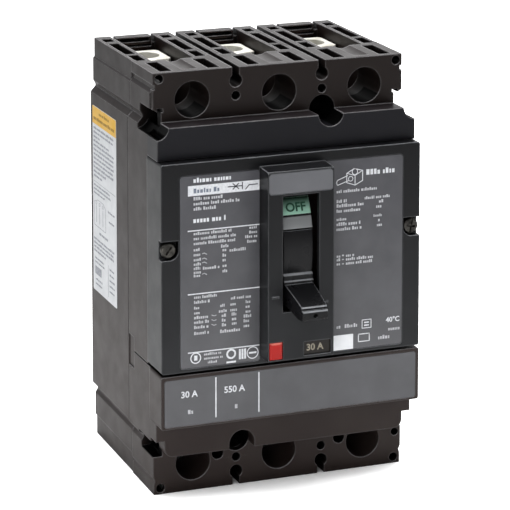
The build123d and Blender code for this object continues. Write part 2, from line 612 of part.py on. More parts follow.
def bimetal(x):
    """Bimetal strip clamped to the load strap at its foot, with an adjusting screw at its free end."""
    strip = block(x - 4, x + 4, -10.5, -11.7, -54, -31)
    foot = block(x - 4, x + 4, -9.0, -10.5, -54, -50.5)
    return strip + foot + rod_y(-11.7, -22.0, x, -33.0, 1.1)


def magnet_yoke(x):
    """U-shaped magnet around the strap."""
    body = block(x - 8.2, x + 8.2, -4.6, -6.3, -50, -36.6)
    for s in (-1, 1):
        body += block(x + s * 6.4, x + s * 8.2, -4.6, -15.5, -50, -36.6)
    return body


def armature(x):
    """Iron flap in front of the magnet, hinged at its foot."""
    body = block(x - 7.6, x + 7.6, -19.0, -20.5, -51.0, -37.0)
    body += rod_x(x - 7.6, x + 7.6, ARMATURE_Y, ARMATURE_Z, 1.6)
    return body - rod_x(x - 9, x + 9, ARMATURE_Y, ARMATURE_Z, 0.8 + RUN)


save("bimetals", [bimetal(x) for x in POLES])
save("magnet_yokes", [magnet_yoke(x) for x in POLES])
save("armature_pins", [rod_x(x - BAY_HALF, x + BAY_HALF, ARMATURE_Y, ARMATURE_Z, 0.8) for x in POLES])
for label_text, pole_x in zip("abc", POLES):
    save(f"armature_{label_text}", armature(pole_x))
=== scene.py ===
import json
import math
import random

import bmesh
import bpy
from mathutils import Matrix, Vector


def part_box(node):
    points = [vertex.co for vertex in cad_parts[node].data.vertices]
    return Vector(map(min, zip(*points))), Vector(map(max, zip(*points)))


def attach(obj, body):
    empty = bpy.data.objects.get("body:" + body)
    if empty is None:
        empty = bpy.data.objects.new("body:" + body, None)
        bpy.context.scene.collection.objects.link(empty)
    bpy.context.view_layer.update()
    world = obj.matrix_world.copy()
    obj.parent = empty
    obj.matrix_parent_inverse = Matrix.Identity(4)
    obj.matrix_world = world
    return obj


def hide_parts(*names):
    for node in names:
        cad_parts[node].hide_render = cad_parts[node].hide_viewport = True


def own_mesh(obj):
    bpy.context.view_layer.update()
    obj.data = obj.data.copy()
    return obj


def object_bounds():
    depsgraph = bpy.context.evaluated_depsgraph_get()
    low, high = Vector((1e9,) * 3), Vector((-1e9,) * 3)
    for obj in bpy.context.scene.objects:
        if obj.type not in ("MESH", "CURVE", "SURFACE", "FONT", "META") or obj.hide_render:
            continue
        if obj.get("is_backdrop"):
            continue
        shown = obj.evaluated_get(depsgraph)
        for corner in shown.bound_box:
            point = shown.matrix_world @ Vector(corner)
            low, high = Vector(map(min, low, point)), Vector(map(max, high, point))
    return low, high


# Looks for the moulded circuit breaker. Everything is in metres in the CAD frame: +X to the
# right, -Y towards the front, +Z towards the line terminals. Print sizes are in millimetres.

MM = 0.001
INK_HEIGHT = 0.05      # how far print stands off its plate, mm
INK_SUNK = 0.02        # how far it reaches into the plate, mm
LETTER_WEIGHT = 0.022  # thickening of the letters, as a share of their size
SPRING_WIRE = 0.35     # radius of its spring's wire, mm
FLOOR_HALF = 12.0      # half the width of the floor, m
AIM = (0, -0.05, 0)    # the point that every lamp faces, m

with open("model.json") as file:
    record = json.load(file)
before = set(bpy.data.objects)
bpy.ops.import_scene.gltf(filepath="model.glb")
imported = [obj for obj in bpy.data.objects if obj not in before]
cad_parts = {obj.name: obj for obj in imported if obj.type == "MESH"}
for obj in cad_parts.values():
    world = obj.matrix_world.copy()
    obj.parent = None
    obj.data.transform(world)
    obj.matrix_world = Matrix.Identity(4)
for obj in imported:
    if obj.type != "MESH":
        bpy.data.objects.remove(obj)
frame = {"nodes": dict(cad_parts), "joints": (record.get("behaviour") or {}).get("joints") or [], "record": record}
NODES = frame["nodes"]
cad_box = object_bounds()


# ---------------------------------------------------------------- materials

class Shader:
    """A Principled material whose inputs are fed by small procedural node groups."""

    def __init__(self, name, roughness=0.5, metallic=0.0, specular=0.5):
        self.material = bpy.data.materials.new(name)
        self.material.use_nodes = True
        self.tree = self.material.node_tree
        self.surface = self.tree.nodes["Principled BSDF"]
        self.surface.inputs["Roughness"].default_value = roughness
        self.surface.inputs["Metallic"].default_value = metallic
        self.surface.inputs["Specular IOR Level"].default_value = specular
        self.place = self.node("ShaderNodeTexCoord").outputs["Object"]

    def node(self, kind, **settings):
        made = self.tree.nodes.new(kind)
        for key, value in settings.items():
            setattr(made, key, value)
        return made

    def link(self, source, target):
        self.tree.links.new(source, target)

    def noise(self, size_mm, detail=3.0, stretch=(1, 1, 1)):
        """Noise whose features are about size_mm across, smaller along an axis with more stretch."""
        mapping = self.node("ShaderNodeMapping")
        mapping.inputs["Scale"].default_value = stretch
        self.link(self.place, mapping.inputs["Vector"])
        noise = self.node("ShaderNodeTexNoise")
        noise.inputs["Scale"].default_value = 1 / (size_mm * MM)
        noise.inputs["Detail"].default_value = detail
        noise.inputs["Roughness"].default_value = 0.55
        self.link(mapping.outputs["Vector"], noise.inputs["Vector"])
        return noise.outputs["Fac"]

    def remap(self, value, low, high, from_low=0.3, from_high=0.7):
        """A value between from_low and from_high becomes low to high, clamped."""
        made = self.node("ShaderNodeMapRange")
        made.inputs["From Min"].default_value = from_low
        made.inputs["From Max"].default_value = from_high
        made.inputs["To Min"].default_value = low
        made.inputs["To Max"].default_value = high
        self.link(value, made.inputs["Value"])
        return made.outputs["Result"]

    def mix(self, share, first, second):
        """Colour mix; first and second are colours or sockets, share a number or a socket."""
        made = self.node("ShaderNodeMix", data_type="RGBA")
        for name, value in (("Factor", share), ("A", first), ("B", second)):
            self.feed(made.inputs[name], value)
        return made.outputs["Result"]

    def along(self, axis):
        """X, Y or Z of the shading point in the object's frame."""
        split = self.node("ShaderNodeSeparateXYZ")
        self.link(self.place, split.inputs["Vector"])
        return split.outputs[axis]

    def product(self, first, second):
        made = self.node("ShaderNodeMath", operation="MULTIPLY")
        self.link(first, made.inputs[0])
        self.link(second, made.inputs[1])
        return made.outputs[0]

    def edges(self, radius_mm, slopes):
        """Mask for a painted highlight: 1 on upper edges, or with slopes on all that faces up and forward; edges
        look rounded.
        """
        rounded = self.node("ShaderNodeBevel", samples=6)
        rounded.inputs["Radius"].default_value = radius_mm * MM
        self.link(rounded.outputs["Normal"], self.surface.inputs["Normal"])
        flat = self.node("ShaderNodeNewGeometry")
        dot = self.node("ShaderNodeVectorMath", operation="DOT_PRODUCT")
        self.link(rounded.outputs["Normal"], dot.inputs[0])
        self.link(flat.outputs["Normal"], dot.inputs[1])
        split = self.node("ShaderNodeSeparateXYZ")
        self.link(rounded.outputs["Normal"], split.inputs["Vector"])
        if slopes:
            steep = self.remap(split.outputs["Z"], 0.0, 1.0, 0.4, 0.56)
            return self.product(steep, self.remap(split.outputs["Z"], 1.0, 0.0, 0.84, 0.92))
        upward = self.remap(split.outputs["Z"], 0.2, 1.0, 0.15, 0.55)
        return self.product(self.remap(dot.outputs["Value"], 0.0, 1.0, 0.995, 0.85), upward)

    def between(self, axis, start, full, full_end, end):
        """1 from full to full_end along an axis, in mm, fading to 0 at start and end."""
        place = self.along(axis)
        rising = self.remap(place, 0.0, 1.0, start * MM, full * MM)
        return self.product(rising, self.remap(place, 1.0, 0.0, full_end * MM, end * MM))

    def open_to_light(self, reach_mm):
        """1 in the open, falling to 0 inside narrow holes and pockets; it drives painted shade."""
        near = self.node("ShaderNodeAmbientOcclusion", samples=6)
        near.inputs["Distance"].default_value = reach_mm * MM
        return self.remap(near.outputs["AO"], 0.0, 1.0, 0.18, 0.62)

    def bump(self, value, distance_mm):
        """Adds a layer of bump, on top of any there already."""
        made = self.node("ShaderNodeBump")
        made.inputs["Distance"].default_value = distance_mm * MM
        made.inputs["Strength"].default_value = 1.0
        self.link(value, made.inputs["Height"])
        before = self.surface.inputs["Normal"].links
        if before:
            self.link(before[0].from_socket, made.inputs["Normal"])
        self.link(made.outputs["Normal"], self.surface.inputs["Normal"])

    def color(self, value):
        self.set("Base Color", value)

    def set(self, name, value):
        self.feed(self.surface.inputs[name], value)

    def feed(self, socket, value):
        """Links a socket to another, or gives it a plain value."""
        if isinstance(value, bpy.types.NodeSocket):
            self.link(value, socket)
        else:
            socket.default_value = value


def rgb(text):
    """Linear colour of an sRGB hex value."""
    parts = [int(text[i:i + 2], 16) / 255 for i in (0, 2, 4)]
    return tuple(c / 12.92 if c < 0.04045 else ((c + 0.055) / 1.055) ** 2.4 for c in parts) + (1.0,)


def plastic(name, dark, light, roughness, highlight, grain_mm=0.45, grain_depth=0.008, round_mm=0.8,
            slopes=False, shoulder=None, top_shade=None, reach_mm=11.0, painted_shade="040404"):
    """Moulded plastic: slow colour drift, spark-eroded grain, uneven sheen, a painted highlight on upper edges,
    painted shade in crevices and recesses, and optional painted shade towards the top.
    """
    specular = 0.2
    s = Shader(name, roughness, specular=specular)
    drift = s.remap(s.noise(26, 2.0), 0.0, 1.0, 0.35, 0.65)
    body = s.mix(drift, rgb(dark), rgb(light))
    speck = s.remap(s.noise(0.7, 4.0), 0.0, 0.16, 0.5, 0.75)
    body = s.mix(speck, body, rgb(light))
    # Painted shade: over the given height span the colour darkens towards the top, where less light falls.
    if top_shade:
        colour, start, end = top_shade
        body = s.mix(s.remap(s.along("Z"), 0.0, 1.0, start, end), body, rgb(colour))
    if shoulder:
        body = s.mix(shoulder_zone(s), body, rgb(shoulder))
    # Painted highlight: upper edges, and with slopes the faces that look up and forward, are lightened as if they
    # caught the overhead lamp; noise breaks the line up.
    edge_highlight = s.product(s.edges(round_mm, slopes), s.remap(s.noise(5, 3.0), 0.6, 1.0))
    body = s.mix(edge_highlight, body, rgb(highlight))
    # Painted shade: holes, pockets and the corner recesses take on the dark shade colour and lose most of their
    # reflection.
    unshaded = s.open_to_light(reach_mm)
    if shoulder:
        for zone in recess_zones(s):
            unshaded = s.product(unshaded, s.remap(zone, 1.0, 0.0, 0.0, 1.0))
    body = s.mix(unshaded, rgb(painted_shade), body)
    s.set("Specular IOR Level", s.remap(unshaded, 0.03, specular, 0.0, 1.0))
    s.color(body)
    s.set("Roughness", s.remap(s.noise(9, 3.0), roughness - 0.04, roughness + 0.05))
    s.bump(s.noise(grain_mm, 3.0), grain_depth)
    return s.material


def shoulder_zone(s):
    """The shoulder above the front cover, which is moulded in a cooler black."""
    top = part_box("main_cover")[1].z / MM
    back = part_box("accessory_cover")[1].y / MM
    in_front = s.remap(s.along("Y"), 1.0, 0.0, (back - 0.6) * MM, (back - 0.2) * MM)
    return s.product(in_front, s.between("Z", top - 32.0, top - 31.6, top - 19.2, top - 18.8))


def recess_zones(s):
    """The undercut recesses at the corners of the housing, which lie in deep shade."""
    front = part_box("main_cover")[0].y / MM
    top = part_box("main_cover")[1].z / MM
    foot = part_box("trip_unit_cover")[0].z / MM
    behind_face = s.between("Y", front + 8.9, front + 9.3, front + 21.4, front + 22.0)
    in_shoulder = s.between("Y", front + 0.1, front + 0.3, front + 8.9, front + 9.3)
    return [
        s.product(behind_face, s.between("Z", top - 23.7, top - 23.4, top - 15.0, top - 14.6)),
        s.product(in_shoulder, s.between("Z", top - 23.7, top - 23.4, top - 19.5, top - 19.2)),
        s.product(behind_face, s.between("Z", foot + 14.3, foot + 14.6, foot + 21.1, foot + 21.4)),
    ]


def metal(name, dark, light, roughness, stretch=(1, 1, 1), tarnish=None, metallic=1.0):
    """Metal with fine machining or rolling marks and an uneven bright surface."""
    s = Shader(name, roughness, metallic=metallic)
    body = s.mix(s.remap(s.noise(3.0, 4.0, stretch), 0.0, 1.0), rgb(dark), rgb(light))
    if tarnish:
        body = s.mix(s.remap(s.noise(7.0, 4.0), 0.0, 0.75, 0.5, 0.72), body, rgb(tarnish))
    s.color(body)
    s.set("Roughness", s.remap(s.noise(1.2, 4.0, stretch), roughness - 0.09, roughness + 0.12))
    s.bump(s.noise(0.5, 3.0, stretch), 0.01)
    return s.material


def paper(name, base, shade):
    """Printed film or paper label: faint fibre mottling and a slight orange-peel sheen."""
    s = Shader(name)
    s.color(s.mix(s.remap(s.noise(4.0, 4.0), 0.0, 1.0), rgb(base), rgb(shade)))
    s.set("Roughness", s.remap(s.noise(6.0, 2.0), 0.37, 0.55))
    s.bump(s.noise(1.6, 2.0), 0.006)
    return s.material


def ink(name, base, thin):
    """Pad-printed ink, a little thinner in places."""
    s = Shader(name)
    s.color(s.mix(s.remap(s.noise(0.8, 4.0), 0.0, 1.0, 0.35, 0.6), rgb(thin), rgb(base)))
    s.bump(s.noise(0.3, 2.0), 0.004)
    return s.material


def brushed_plate(name, top, bottom):
    """Grey rating plate, painted lighter towards its foot as if lit from below, with a fine matt grain."""
    s = Shader(name)
    light_from_below = s.remap(s.along("Z"), 1.0, 0.0, -0.030, 0.045)
    tone = s.mix(light_from_below, rgb(top), rgb(bottom))
    tone = s.mix(s.remap(s.noise(12, 3.0), 0.0, 0.12), tone, rgb("8a8a90"))
    s.color(tone)
    s.set("Roughness", s.remap(s.noise(5, 3.0), 0.37, 0.50))
    s.bump(s.noise(0.3, 3.0), 0.006)
    return s.material


def amber_window(name):
    """Smoked polycarbonate over a printed rating."""
    s = Shader(name, 0.3, specular=0.2)
    s.color(s.mix(s.remap(s.noise(3.0, 3.0), 0.0, 1.0), rgb("1a1613"), rgb("231e1a")))
    s.set("Coat Weight", 0.1)
    s.set("Coat Roughness", 0.12)
    s.bump(s.noise(2.5, 2.0), 0.01)
    return s.material


def fibre(name, dark, light):
    """Laminated fibre and blackened splitter plates of the arc chutes."""
    s = Shader(name, 0.7)
    s.color(s.mix(s.remap(s.noise(1.2, 4.0, (1, 5, 1)), 0.0, 1.0), rgb(dark), rgb(light)))
    s.bump(s.noise(0.5, 4.0, (1, 6, 1)), 0.02)
    return s.material


def bimetal_strip(name):
    """Two bonded metals: a steel face and a warm brass face, split by which way the surface looks."""
    s = Shader(name, 0.35, metallic=1.0)
    facing = s.node("ShaderNodeNewGeometry")
    split = s.node("ShaderNodeSeparateXYZ")
    s.link(facing.outputs["Normal"], split.inputs["Vector"])
    side = s.remap(split.outputs["Y"], 0.0, 1.0, -0.2, 0.2)
    tone = s.mix(side, rgb("b9b4aa"), rgb("b98a4e"))
    s.color(s.mix(s.remap(s.noise(2.0, 4.0), 0.0, 0.3), tone, rgb("6a6258")))
    s.bump(s.noise(0.6, 3.0, (1, 1, 8)), 0.008)
    return s.material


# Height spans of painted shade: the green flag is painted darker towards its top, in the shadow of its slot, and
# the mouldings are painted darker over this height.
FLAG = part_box("off_flag")
TOP_SHADE_SPAN = (cad_box[0].z * 0.5, cad_box[1].z * 0.8)
# Plastics take their own colours, a colour for the painted highlight on upper edges, and some a colour for painted
# shade in crevices or towards the top.
MATERIALS = {
    "housing": plastic("housing_plastic", "2b2220", "322a27", 0.42, "9e9c9e", shoulder="131318",
                       top_shade=("1c1513", *TOP_SHADE_SPAN)),
    "cover": plastic("cover_plastic", "222325", "2a2b2d", 0.36, "9a9ca0", 0.35, 0.006,
                     top_shade=("060608", *TOP_SHADE_SPAN)),
    "plate": brushed_plate("grey_plate", "3d3d42", "525255"),
    "label": paper("white_film", "d2d4d6", "c6c8cb"),
    "amber": amber_window("smoked_window"),
    "dark_steel": metal("blackened_steel", "343331", "54524e", 0.42, tarnish="1c1b1a"),
    "steel": metal("zinc_steel", "8f9195", "b8babd", 0.34, (1, 1, 3)),
    "lug": metal("tinned_lug", "e4e2d8", "f4f2ea", 0.5, (1, 1, 2.5), tarnish="bdb9ab", metallic=0.4),
    "copper": metal("copper_bar", "a45d3c", "c88258", 0.34, (3, 1, 1), tarnish="7a4a33"),
    "silver": metal("silver_pad", "cfcfcf", "efeeea", 0.28),
    "chute": fibre("arc_chute", "2b2a2a", "6b6964"),
    "shaft_plastic": plastic("shaft_plastic", "4a2f24", "5c3a2c", 0.5, "8a6048", painted_shade="1c120d"),
    "handle_plastic": plastic("handle_plastic", "0c0c0e", "121214", 0.28, "8e9094", 0.35, 0.005,
                              round_mm=0.6, slopes=True, reach_mm=6.0),
    "green": plastic("green_flag", "86b49e", "9fcab6", 0.4, "c4e6d4", 0.4, 0.006, reach_mm=5.0,
                     painted_shade="0c2a1b", top_shade=("081a11", FLAG[0].z + 1.4 * MM, FLAG[1].z - 0.6 * MM)),
    "flag_grey": plastic("pale_flag", "707274", "848687", 0.45, "a5a7a8", 0.4, 0.006, reach_mm=5.0,
                         painted_shade="2c2a27"),
    "red": plastic("red_button", "a01b18", "b4251f", 0.3, "f08a7c", 0.35, 0.006, slopes=True,
                   reach_mm=2.0, painted_shade="6a100e"),
    "bimetal": bimetal_strip("bimetal_strip"),
}
NAMEPLATE = brushed_plate("nameplate_grey", "5c5d61", "636467")
STICKER = paper("sticker_film", "f2f4f7", "e9ebee")
WHITE_INK = ink("white_ink", "e6e8ec", "d4d6da")
GREY_INK = ink("small_print_ink", "cbccd0", "acadb1")
DARK_INK = ink("dark_ink", "303238", "42454c")
CODE_INK = ink("code_ink", "6d7686", "7d8594")
TAN_INK = ink("tan_ink", "a39b8a", "857e6f")
LABEL_INK = ink("label_ink", "80838b", "9a9da4")
HEADER_INK = ink("header_ink", "8a6712", "9c7618")
GREEN_INK = ink("flag_letter_ink", "123a29", "1c4a37")
YELLOW_FILM = paper("yellow_film", "d9aa22", "d1a21c")


def slot_of(node):
    """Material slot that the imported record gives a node."""
    for part in frame["record"]["subparts"]:
        if part["node"] == node:
            return part["material_slot"]
    raise KeyError(node)


def dress(obj, material):
    obj.data.materials.clear()
    obj.data.materials.append(material)


def made_piece(name, mesh, material, body="housing", slot="label"):
    """Makes a mesh into a piece that rides on a body and wears the given material; slot is not used."""
    bmesh.ops.recalc_face_normals(mesh, faces=mesh.faces)
    data = bpy.data.meshes.new(name)
    mesh.to_mesh(data)
    mesh.free()
    obj = bpy.data.objects.new(name, data)
    bpy.context.scene.collection.objects.link(obj)
    dress(obj, material)
    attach(obj, body)
    return obj


# ---------------------------------------------------------------- softened edges

def soften(node, width_mm):
    """Rounds the sharp edges of a CAD node with modifiers; its mesh stays as it is."""
    obj = NODES[node]
    weld = obj.modifiers.new("weld", "WELD")
    weld.merge_threshold = 0.002 * MM
    flat = obj.modifiers.new("flats", "DECIMATE")
    flat.decimate_type = "DISSOLVE"
    flat.angle_limit = math.radians(0.6)
    bevel = obj.modifiers.new("rounding", "BEVEL")
    bevel.width = width_mm * MM
    bevel.segments = 2
    bevel.limit_method = "ANGLE"
    bevel.angle_limit = math.radians(32)
    bevel.miter_outer = "MITER_ARC"
    shade = obj.modifiers.new("shading", "WEIGHTED_NORMAL")
    shade.keep_sharp = False
    shade.weight = 80


# ---------------------------------------------------------------- printed matter

class Sheet:
    """Flat printed matter on a face: u runs right and v down from a corner, in millimetres."""

    def __init__(self, corner, right, down):
        self.corner = Vector(corner)
        self.right = Vector(right)
        self.down = Vector(down)
        self.out = self.down.cross(self.right)
        self.mesh = bmesh.new()

    def at(self, u, v, w):
        return self.corner + (self.right * u + self.down * v + self.out * w) * MM

    def over_ink(self):
        """Raises the sheet by one layer of ink, for print on top of print."""
        self.corner += self.out * INK_HEIGHT * MM
        return self

    def prism(self, points):
        """Closed prism over a convex outline of (u, v) points."""
        low = [self.mesh.verts.new(self.at(u, v, -INK_SUNK)) for u, v in points]
        high = [self.mesh.verts.new(self.at(u, v, INK_HEIGHT)) for u, v in points]
        self.mesh.faces.new(high)
        self.mesh.faces.new(low[::-1])
        for i in range(len(points)):
            j = (i + 1) % len(points)
            self.mesh.faces.new((low[i], low[j], high[j], high[i]))

    def bar(self, u, v, width, height):
        self.prism([(u, v), (u + width, v), (u + width, v + height), (u, v + height)])

    def stroke(self, points, width):
        """Polyline with square-ended segments."""
        for (u0, v0), (u1, v1) in zip(points, points[1:]):
            length = math.hypot(u1 - u0, v1 - v0)
            a, b = (u1 - u0) / length * width / 2, (v1 - v0) / length * width / 2
            self.prism([(u0 - a - b, v0 - b + a), (u0 - a + b, v0 - b - a),
                        (u1 + a + b, v1 + b - a), (u1 + a - b, v1 + b + a)])

    def circle(self, u, v, radius, width, steps=28):
        """Round band; radius is that of its middle."""
        inner, outer = radius - width / 2, radius + width / 2
        section = ((inner, -INK_SUNK), (outer, -INK_SUNK), (outer, INK_HEIGHT), (inner, INK_HEIGHT))
        rings = []
        for i in range(steps):
            turn = math.radians(360 * i / steps)
            c, s = math.cos(turn), math.sin(turn)
            rings.append([self.mesh.verts.new(self.at(u + r * c, v + r * s, w)) for r, w in section])
        for a, b in zip(rings, rings[1:] + rings[:1]):
            for k in range(4):
                self.mesh.faces.new((a[k], a[(k + 1) % 4], b[(k + 1) % 4], b[k]))

    def greek(self, u, v, width, height, seed):
        """A line of plain blocks that stands for small print: no letters, only its rhythm."""
        draw = random.Random(seed)
        at = u
        left_in_word = draw.randint(3, 9)
        while at < u + width - 0.25 * height:
            size = min(height * draw.choice((0.34, 0.46, 0.52, 0.62)), u + width - at)
            tall = height * draw.choice((0.7, 0.72, 0.74, 1.0))
            self.bar(at, v + height - tall, size, tall)
            at += size + height * 0.2
            left_in_word -= 1
            if not left_in_word:
                at += height * 0.42
                left_in_word = draw.randint(3, 9)

    def piece(self, name, material):
        """Turns what was drawn into a piece of the housing."""
        made_piece(name, self.mesh, material)


def front_sheet(node):
    """Sheet over the front face of a plate, from its upper left corner."""
    low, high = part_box(node)
    return Sheet((low.x, low.y, high.z), (1, 0, 0), (0, 0, -1))


def left_plate_print():
    """Rating plate left of the handle: name strip, two tables and a row of plain marks."""
    strip = front_sheet("left_plate")
    strip.bar(3.1, 3.65, 28.3, 3.85)
    strip.piece("left_plate_strip", WHITE_INK)

    # Standard symbol of a circuit breaker, and a plain code, over the white strip.
    mark = front_sheet("left_plate").over_ink()
    mark.stroke([(18.9, 5.3), (24.6, 5.3)], 0.36)
    mark.stroke([(20.9, 4.3), (23.1, 6.3)], 0.36)
    mark.stroke([(20.9, 6.3), (23.1, 4.3)], 0.36)
    mark.stroke([(24.6, 4.1), (24.6, 6.5)], 0.36)
    mark.stroke([(25.9, 6.7), (27.3, 5.2), (30.6, 5.2)], 0.36)
    mark.piece("left_plate_strip_print", DARK_INK)
    code = front_sheet("left_plate").over_ink()
    code.greek(5.3, 4.75, 10.4, 1.75, 11)
    code.piece("left_plate_strip_code", CODE_INK)

    bold = front_sheet("left_plate")
    bold.greek(5.3, 0.75, 15.6, 1.8, 12)
    bold.greek(5.2, 15.75, 12.7, 1.95, 13)
    for down in (20.45, 44.5, 66.75):
        bold.bar(2.95, down, 28.5, 0.42)
    bold.circle(6.0, 69.2, 1.95, 0.42)
    bold.bar(5.35, 68.2, 1.3, 1.9)
    bold.circle(28.7, 69.6, 2.2, 0.34)
    bold.bar(27.2, 69.25, 3.0, 0.7)
    # Plain blocks where approval marks would be.
    bold.circle(20.1, 69.15, 1.6, 0.7)
    bold.bar(18.2, 71.9, 3.8, 0.7)
    for i in range(3):
        bold.bar(23.2 + 1.05 * i, 67.7, 0.75, 3.9)
    bold.piece("left_plate_bold_print", WHITE_INK)

    # Each row of small print: right, down, width and height.
    small = front_sheet("left_plate")
    rows = [
        # name lines
        (5.3, 7.95, 11.8, 1.25), (5.3, 9.85, 18.2, 1.25), (5.3, 11.8, 8.9, 1.25),
        # heading of the first table and its right-hand column
        (5.3, 21.2, 15.1, 1.15), (5.3, 23.1, 16.7, 1.15), (5.3, 24.95, 16.4, 1.15),
        (27.4, 20.95, 2.9, 1.1), (27.3, 22.75, 3.3, 1.1), (25.7, 24.3, 4.9, 1.15), (26.5, 26.15, 4.1, 1.15),
        # first table
        (16.1, 26.9, 2.9, 1.2), (19.5, 28.8, 6.4, 1.15), (8.9, 34.6, 6.6, 1.15),
        (5.3, 27.3, 2.4, 1.15), (5.3, 29.2, 2.8, 1.15), (5.3, 31.1, 2.8, 1.15), (5.3, 32.8, 2.8, 1.15),
        (5.3, 34.4, 2.6, 1.15), (5.3, 35.9, 2.8, 1.15), (5.3, 37.3, 2.8, 1.0),
        (16.7, 28.4, 1.9, 1.15), (16.7, 30.4, 1.7, 1.2), (16.7, 32.2, 1.7, 1.2), (16.7, 34.4, 1.9, 1.15),
        (16.7, 36.4, 1.8, 1.2),
        # heading of the second table
        (5.4, 45.4, 9.3, 1.1), (5.4, 47.3, 6.6, 1.1), (20.0, 47.2, 8.2, 1.1),
        # second table
        (5.4, 49.5, 2.0, 1.05), (5.4, 51.4, 2.4, 1.05), (5.4, 53.1, 5.8, 1.2), (5.4, 54.9, 5.8, 1.2),
        (5.4, 56.8, 5.8, 1.2), (5.4, 59.1, 5.8, 1.2),
        (15.8, 49.6, 2.1, 1.1), (15.2, 51.6, 3.4, 1.2), (16.3, 53.4, 1.9, 1.2), (16.4, 55.2, 1.6, 1.2),
        (16.4, 57.0, 1.7, 1.2),
        (19.8, 49.5, 2.1, 1.1), (19.8, 51.6, 3.0, 1.2), (20.3, 53.3, 1.9, 1.2), (20.4, 55.1, 1.7, 1.2),
        (20.4, 56.8, 1.8, 1.2),
        (25.9, 49.2, 1.9, 1.1), (25.9, 51.0, 1.9, 1.1), (25.9, 52.9, 1.9, 1.1), (25.1, 54.6, 3.0, 1.2),
        (25.1, 56.4, 2.6, 1.2), (25.1, 58.3, 3.0, 1.2), (15.7, 59.4, 7.9, 1.25),
        # small print between the marks
        (9.3, 67.6, 7.2, 0.95), (9.3, 69.2, 7.4, 0.95), (10.8, 70.8, 4.2, 0.95),
    ]
    for seed, (u, v, width, height) in enumerate(rows):
        small.greek(u, v, width, height, 100 + seed)
    # Short wavy-current marks beside the voltages.
    for v in (29.9, 31.8, 33.3, 37.6):
        small.stroke([(8.7, v - 0.2), (9.5, v - 0.45), (10.4, v + 0.1)], 0.24)
    for v in (53.8, 55.6, 57.4):
        small.stroke([(12.4, v - 0.4), (13.3, v), (14.1, v - 0.2)], 0.24)
    small.piece("left_plate_small_print", GREY_INK)


def right_plate_print():
    """Plate right of the handle, with the lug pictogram and plain frames for the marks."""
    bold = front_sheet("right_plate")
    bold.greek(16.6, 4.5, 11.9, 2.1, 21)
    # Lug and cable pictogram: a block in three-quarter view with a round wire leading in.
    block = [(8.6, 5.3), (11.6, 3.7), (15.1, 4.7), (15.1, 8.6), (12.0, 10.1), (8.6, 8.9), (8.6, 5.3)]
    bold.stroke(block, 0.3)
    bold.stroke([(8.6, 5.3), (12.0, 6.4), (15.1, 4.7)], 0.26)
    bold.stroke([(12.0, 6.4), (12.0, 10.1)], 0.26)
    bold.circle(11.9, 4.95, 1.1, 0.24)
    bold.stroke([(8.9, 6.2), (4.8, 7.7), (4.4, 8.6), (4.8, 9.6), (9.2, 8.2)], 0.3)
    bold.circle(10.2, 7.5, 0.9, 0.24)
    # Plain frames where approval marks would be.
    bold.stroke([(15.2, 62.8), (18.9, 62.8), (18.9, 66.0), (15.2, 66.0), (15.2, 62.8)], 0.3)
    bold.bar(16.0, 63.6, 2.0, 0.5)
    bold.bar(16.0, 64.7, 2.0, 0.5)
    bold.stroke([(13.7, 68.2), (18.2, 68.2), (18.2, 71.1), (13.7, 71.1), (13.7, 68.2)], 0.34)
    bold.piece("right_plate_bold_print", WHITE_INK)

    small = front_sheet("right_plate")
    rows = [
        (4.5, 11.4, 16.5, 1.2),
        (4.5, 15.2, 4.1, 1.2), (4.5, 16.9, 11.0, 1.25), (4.5, 18.9, 10.6, 1.25),
        (16.0, 14.9, 10.3, 1.1), (21.9, 16.6, 1.9, 1.2), (20.8, 18.5, 2.5, 1.25),
        (4.5, 22.2, 4.1, 1.1), (4.5, 24.0, 10.2, 1.25), (4.5, 25.9, 10.2, 1.25),
        (19.7, 22.1, 4.1, 1.0), (21.6, 23.8, 1.0, 1.2), (21.1, 25.7, 2.0, 1.2),
        (4.6, 36.4, 1.5, 1.1), (6.8, 36.5, 0.9, 0.6), (8.4, 36.4, 3.7, 1.1),
        (4.6, 37.8, 1.5, 1.1), (6.8, 38.0, 0.9, 0.6), (8.4, 37.8, 11.1, 1.15),
        (4.6, 39.4, 1.5, 1.1), (6.8, 39.7, 0.9, 0.6), (8.4, 39.4, 11.1, 1.15),
        (4.7, 63.7, 2.0, 1.4), (8.0, 63.7, 3.2, 1.4), (11.7, 63.7, 1.4, 1.4),
        (26.1, 66.8, 4.8, 1.3), (21.9, 69.6, 4.9, 1.5),
    ]
    for seed, (u, v, width, height) in enumerate(rows):
        small.greek(u, v, width, height, 200 + seed)
    small.piece("right_plate_small_print", GREY_INK)


